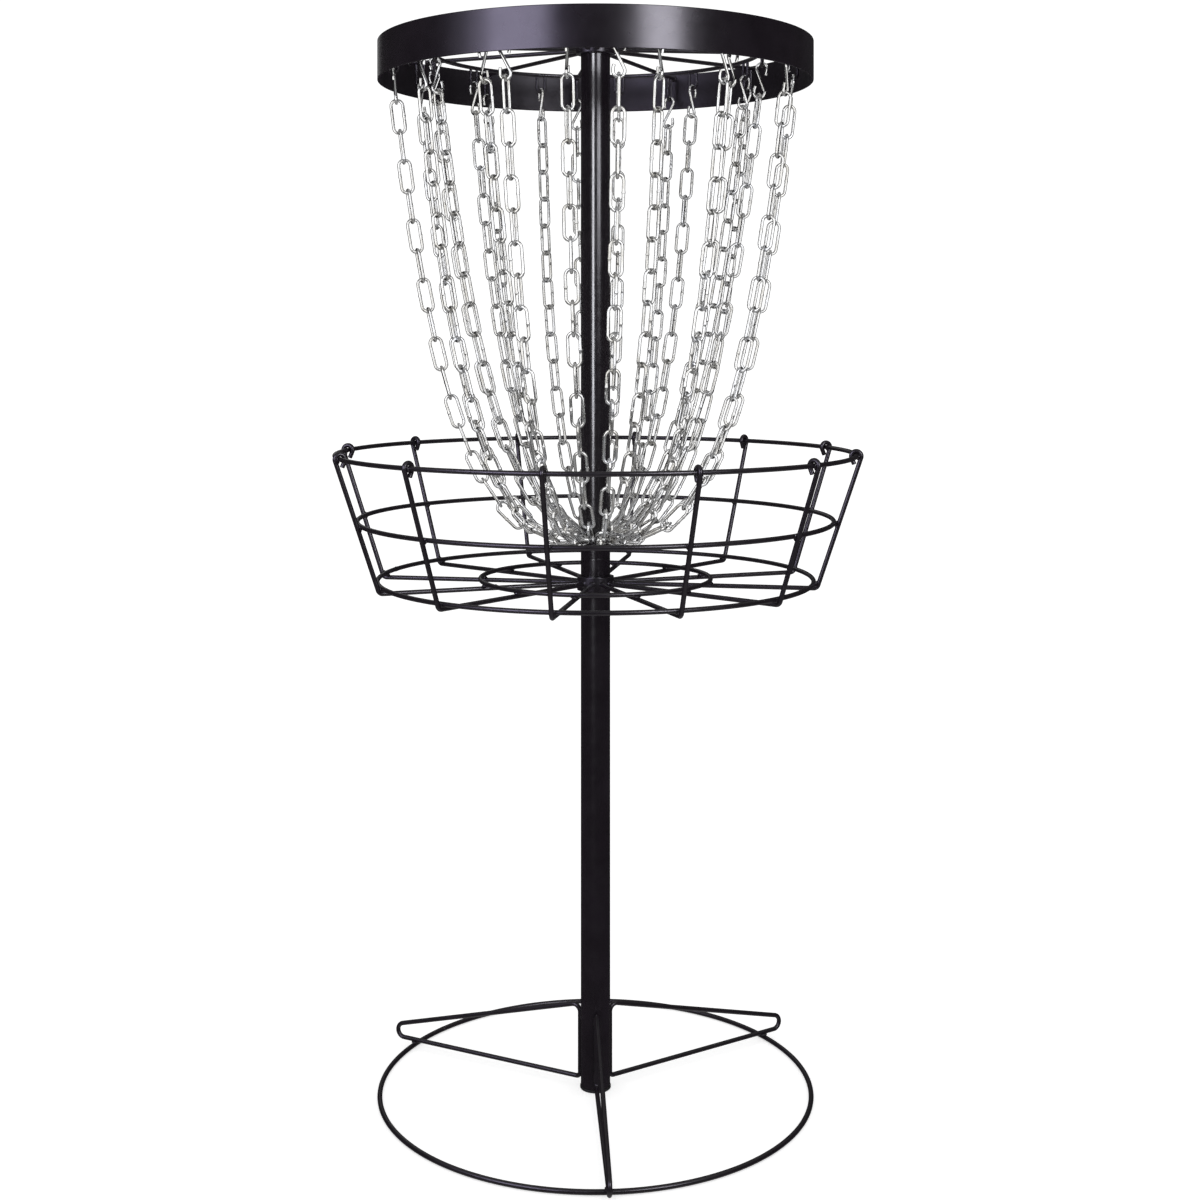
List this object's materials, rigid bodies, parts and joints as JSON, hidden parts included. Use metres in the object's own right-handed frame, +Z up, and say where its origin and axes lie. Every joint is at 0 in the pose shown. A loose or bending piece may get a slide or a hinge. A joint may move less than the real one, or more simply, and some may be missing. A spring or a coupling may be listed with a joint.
{
  "type": "disc golf basket",
  "caption": "Portable disc golf target: pole on a wire stand, round wire tray, top band with a spoked rack, and rows of steel chains gathered on a ring round the pole.",
  "frame": {"origin": "on the ground on the pole's axis, at the underside of the foot plug and base ring", "axes": "+Z up along the pole, -Y towards the front, +X to the right"},
  "size_m": [0.6748, 0.6748, 1.35],
  "materials": {
    "pole_coat": "satin black powder coat",
    "stand_coat": "satin black powder coat",
    "basket_coat": "satin black powder coat",
    "band_coat": "semi-gloss black powder coat",
    "rack_coat": "satin black powder coat",
    "plug_plastic": "moulded black",
    "chain_zinc": "bright zinc plate",
    "ring_zinc": "bright zinc plate"
  },
  "bodies": {
    "stand": {"lower_pole": "pole_coat", "upper_pole": "pole_coat", "pole_coupler": "pole_coat", "foot_plug": "plug_plastic", "top_cap": "plug_plastic", "base_ring": "stand_coat", "leg_1": "stand_coat", "leg_2": "stand_coat", "leg_3": "stand_coat", "basket_rim_ring": "basket_coat", "basket_middle_ring": "basket_coat", "basket_floor_ring": "basket_coat", "basket_inner_ring": "basket_coat", "basket_hub": "basket_coat", "basket_rib_01": "basket_coat", "basket_rib_02": "basket_coat", "basket_rib_03": "basket_coat", "basket_rib_04": "basket_coat", "basket_rib_05": "basket_coat", "basket_rib_06": "basket_coat", "basket_rib_07": "basket_coat", "basket_rib_08": "basket_coat", "basket_rib_09": "basket_coat", "basket_rib_10": "basket_coat", "basket_rib_11": "basket_coat", "basket_rib_12": "basket_coat", "chain_band": "band_coat", "chain_rack": "rack_coat"},
    "chain_ring": {"chain_ring": "ring_zinc"},
    "chain_outer_01": {"chain_outer_01": "chain_zinc"},
    "chain_outer_02": {"chain_outer_02": "chain_zinc"},
    "chain_outer_03": {"chain_outer_03": "chain_zinc"},
    "chain_outer_04": {"chain_outer_04": "chain_zinc"},
    "chain_outer_05": {"chain_outer_05": "chain_zinc"},
    "chain_outer_06": {"chain_outer_06": "chain_zinc"},
    "chain_outer_07": {"chain_outer_07": "chain_zinc"},
    "chain_outer_08": {"chain_outer_08": "chain_zinc"},
    "chain_outer_09": {"chain_outer_09": "chain_zinc"},
    "chain_outer_10": {"chain_outer_10": "chain_zinc"},
    "chain_outer_11": {"chain_outer_11": "chain_zinc"},
    "chain_outer_12": {"chain_outer_12": "chain_zinc"},
    "chain_inner_01": {"chain_inner_01": "chain_zinc"},
    "chain_inner_02": {"chain_inner_02": "chain_zinc"},
    "chain_inner_03": {"chain_inner_03": "chain_zinc"},
    "chain_inner_04": {"chain_inner_04": "chain_zinc"},
    "chain_inner_05": {"chain_inner_05": "chain_zinc"},
    "chain_inner_06": {"chain_inner_06": "chain_zinc"},
    "chain_inner_07": {"chain_inner_07": "chain_zinc"},
    "chain_inner_08": {"chain_inner_08": "chain_zinc"},
    "chain_inner_09": {"chain_inner_09": "chain_zinc"},
    "chain_inner_10": {"chain_inner_10": "chain_zinc"},
    "chain_inner_11": {"chain_inner_11": "chain_zinc"},
    "chain_inner_12": {"chain_inner_12": "chain_zinc"}
  },
  "joints": [
    {"name": "chain_ring_lift", "type": "slide", "parent": "stand", "child": "chain_ring", "axis": [0, 0, 1], "range_m": [0, 0.003]},
    {"name": "chain_outer_01_swing", "type": "hinge", "parent": "stand", "child": "chain_outer_01", "pos_m": [0.03133, 0.00329, 0.711], "axis": [0.3569, 0.0375, 0.9334], "range_deg": [-10, 10]},
    {"name": "chain_outer_02_swing", "type": "hinge", "parent": "stand", "child": "chain_outer_02", "pos_m": [0.02548, 0.01852, 0.711], "axis": [0.2903, 0.2109, 0.9334], "range_deg": [-10, 10]},
    {"name": "chain_outer_03_swing", "type": "hinge", "parent": "stand", "child": "chain_outer_03", "pos_m": [0.01281, 0.02878, 0.711], "axis": [0.1459, 0.3278, 0.9334], "range_deg": [-10, 10]},
    {"name": "chain_outer_04_swing", "type": "hinge", "parent": "stand", "child": "chain_outer_04", "pos_m": [-0.00329, 0.03133, 0.711], "axis": [-0.0375, 0.3569, 0.9334], "range_deg": [-10, 10]},
    {"name": "chain_outer_05_swing", "type": "hinge", "parent": "stand", "child": "chain_outer_05", "pos_m": [-0.01852, 0.02548, 0.711], "axis": [-0.2109, 0.2903, 0.9334], "range_deg": [-10, 10]},
    {"name": "chain_outer_06_swing", "type": "hinge", "parent": "stand", "child": "chain_outer_06", "pos_m": [-0.02878, 0.01281, 0.711], "axis": [-0.3278, 0.1459, 0.9334], "range_deg": [-10, 10]},
    {"name": "chain_outer_07_swing", "type": "hinge", "parent": "stand", "child": "chain_outer_07", "pos_m": [-0.03133, -0.00329, 0.711], "axis": [-0.3569, -0.0375, 0.9334], "range_deg": [-10, 10]},
    {"name": "chain_outer_08_swing", "type": "hinge", "parent": "stand", "child": "chain_outer_08", "pos_m": [-0.02548, -0.01852, 0.711], "axis": [-0.2903, -0.2109, 0.9334], "range_deg": [-10, 10]},
    {"name": "chain_outer_09_swing", "type": "hinge", "parent": "stand", "child": "chain_outer_09", "pos_m": [-0.01281, -0.02878, 0.711], "axis": [-0.1459, -0.3278, 0.9334], "range_deg": [-10, 10]},
    {"name": "chain_outer_10_swing", "type": "hinge", "parent": "stand", "child": "chain_outer_10", "pos_m": [0.00329, -0.03133, 0.711], "axis": [0.0375, -0.3569, 0.9334], "range_deg": [-10, 10]},
    {"name": "chain_outer_11_swing", "type": "hinge", "parent": "stand", "child": "chain_outer_11", "pos_m": [0.01852, -0.02548, 0.711], "axis": [0.2109, -0.2903, 0.9334], "range_deg": [-10, 10]},
    {"name": "chain_outer_12_swing", "type": "hinge", "parent": "stand", "child": "chain_outer_12", "pos_m": [0.02878, -0.01281, 0.711], "axis": [0.3278, -0.1459, 0.9334], "range_deg": [-10, 10]},
    {"name": "chain_inner_01_swing", "type": "hinge", "parent": "stand", "child": "chain_inner_01", "pos_m": [0.02941, 0.01129, 0.711], "axis": [0.2727, 0.1047, 0.9564], "range_deg": [-10, 10]},
    {"name": "chain_inner_02_swing", "type": "hinge", "parent": "stand", "child": "chain_inner_02", "pos_m": [0.01982, 0.02448, 0.711], "axis": [0.1838, 0.227, 0.9564], "range_deg": [-10, 10]},
    {"name": "chain_inner_03_swing", "type": "hinge", "parent": "stand", "child": "chain_inner_03", "pos_m": [0.00493, 0.03111, 0.711], "axis": [0.0457, 0.2885, 0.9564], "range_deg": [-10, 10]},
    {"name": "chain_inner_04_swing", "type": "hinge", "parent": "stand", "child": "chain_inner_04", "pos_m": [-0.01129, 0.02941, 0.711], "axis": [-0.1047, 0.2727, 0.9564], "range_deg": [-10, 10]},
    {"name": "chain_inner_05_swing", "type": "hinge", "parent": "stand", "child": "chain_inner_05", "pos_m": [-0.02448, 0.01982, 0.711], "axis": [-0.227, 0.1838, 0.9564], "range_deg": [-10, 10]},
    {"name": "chain_inner_06_swing", "type": "hinge", "parent": "stand", "child": "chain_inner_06", "pos_m": [-0.03111, 0.00493, 0.711], "axis": [-0.2885, 0.0457, 0.9564], "range_deg": [-10, 10]},
    {"name": "chain_inner_07_swing", "type": "hinge", "parent": "stand", "child": "chain_inner_07", "pos_m": [-0.02941, -0.01129, 0.711], "axis": [-0.2727, -0.1047, 0.9564], "range_deg": [-10, 10]},
    {"name": "chain_inner_08_swing", "type": "hinge", "parent": "stand", "child": "chain_inner_08", "pos_m": [-0.01982, -0.02448, 0.711], "axis": [-0.1838, -0.227, 0.9564], "range_deg": [-10, 10]},
    {"name": "chain_inner_09_swing", "type": "hinge", "parent": "stand", "child": "chain_inner_09", "pos_m": [-0.00493, -0.03111, 0.711], "axis": [-0.0457, -0.2885, 0.9564], "range_deg": [-10, 10]},
    {"name": "chain_inner_10_swing", "type": "hinge", "parent": "stand", "child": "chain_inner_10", "pos_m": [0.01129, -0.02941, 0.711], "axis": [0.1047, -0.2727, 0.9564], "range_deg": [-10, 10]},
    {"name": "chain_inner_11_swing", "type": "hinge", "parent": "stand", "child": "chain_inner_11", "pos_m": [0.02448, -0.01982, 0.711], "axis": [0.227, -0.1838, 0.9564], "range_deg": [-10, 10]},
    {"name": "chain_inner_12_swing", "type": "hinge", "parent": "stand", "child": "chain_inner_12", "pos_m": [0.03111, -0.00493, 0.711], "axis": [0.2885, -0.0457, 0.9564], "range_deg": [-10, 10]}
  ]
}
